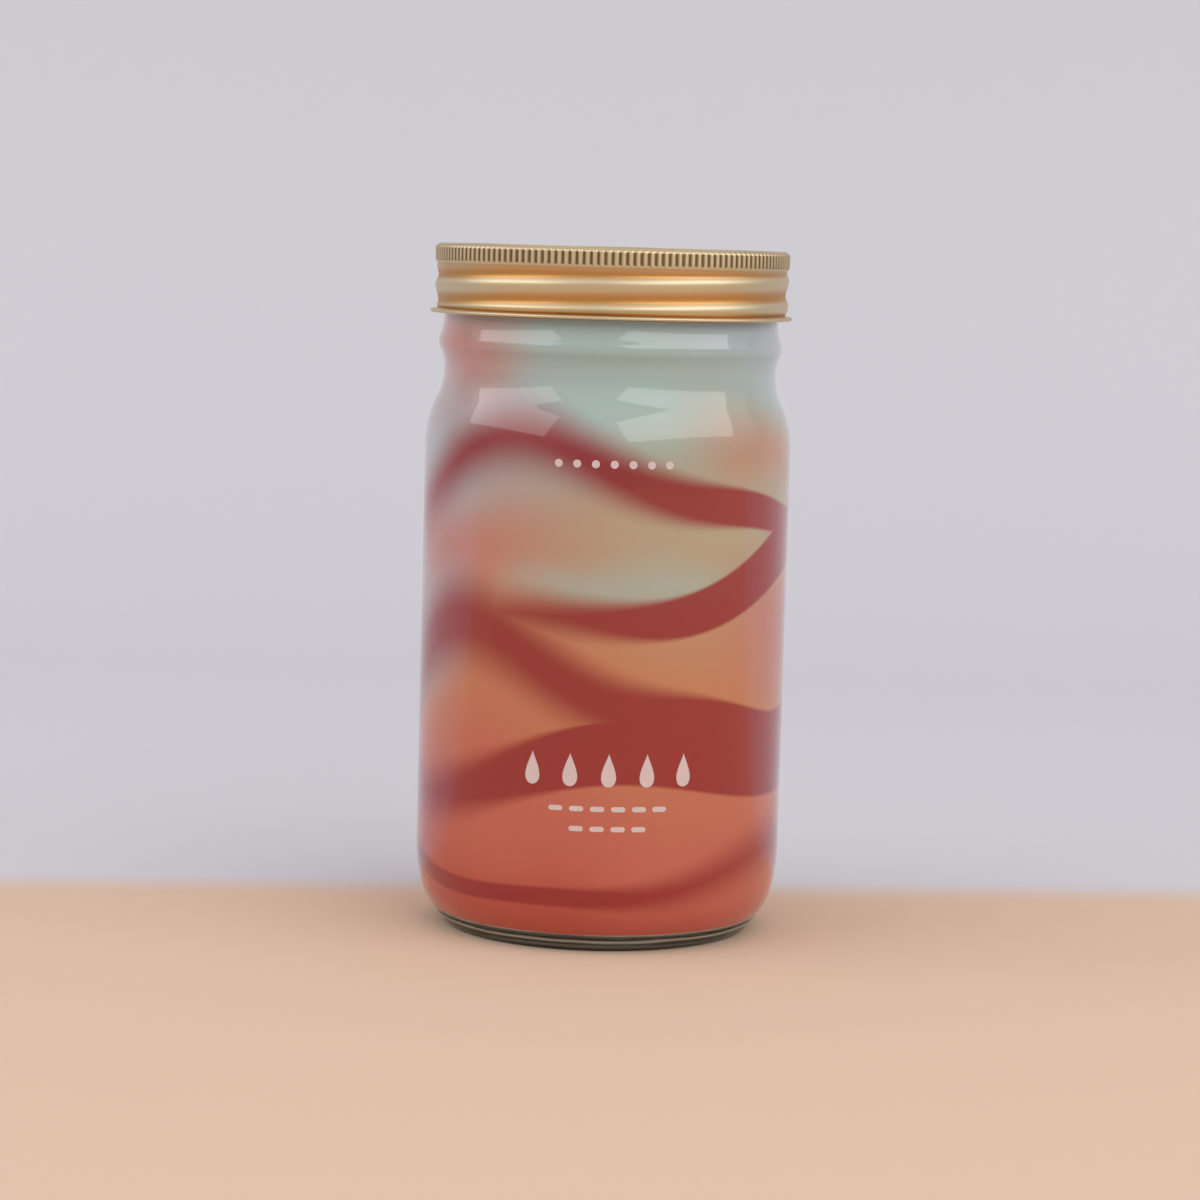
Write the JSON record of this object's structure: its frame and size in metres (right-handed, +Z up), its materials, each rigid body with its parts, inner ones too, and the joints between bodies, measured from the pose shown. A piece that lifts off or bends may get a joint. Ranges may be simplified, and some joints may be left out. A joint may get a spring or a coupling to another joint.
{
  "type": "hydroponic jar planter",
  "caption": "Screw-top glass jar planter with a printed skin, a slotted net pot on its rim and a wick down to the water.",
  "frame": {"origin": "centre of the foot, on the surface that the jar stands on", "axes": "+Z up along the jar's axis, -Y towards the front of the print"},
  "size_m": [0.094, 0.094, 0.1752],
  "materials": {
    "clear_glass": "clear, glossy",
    "printed_film": "glossy, mint to coral print",
    "gold_band": "satin lacquered gold",
    "gold_disc": "satin lacquered gold",
    "sealing_compound": "matt",
    "pot_steel": "brushed",
    "coir": "fibrous",
    "felt": "felted",
    "kraft_paper": "uncoated",
    "foil": "satin foil",
    "tea_paper": "filter paper"
  },
  "bodies": {
    "jar": {"glass_jar": "clear_glass", "print_skin": "printed_film", "plant_food_sachet": "foil", "carbon_pouch": "tea_paper"},
    "lid": {"lid_disc": "gold_disc", "lid_gasket": "sealing_compound"},
    "band": {"screw_band": "gold_band"},
    "pot": {"net_pot": "pot_steel", "growing_medium": "coir", "wick_strip": "felt", "seed_packet": "kraft_paper"}
  },
  "joints": [
    {"name": "lid_lift", "type": "slide", "parent": "jar", "child": "lid", "axis": [0, 0, 1], "range_m": [0, 0.0255]},
    {"name": "band_turn", "type": "hinge", "parent": "lid", "child": "band", "pos_m": [0, 0, 0.1665], "axis": [0, 0, 1], "range_deg": [0, 1440]},
    {"name": "pot_lift", "type": "slide", "parent": "jar", "child": "pot", "axis": [0, 0, 1], "range_m": [0, 0.0245]}
  ],
  "couplings": [
    {"joint": "lid_lift", "follows": "band_turn", "m_per_rad": 0.0010106},
    {"joint": "pot_lift", "follows": "band_turn", "m_per_rad": 0.00097}
  ]
}
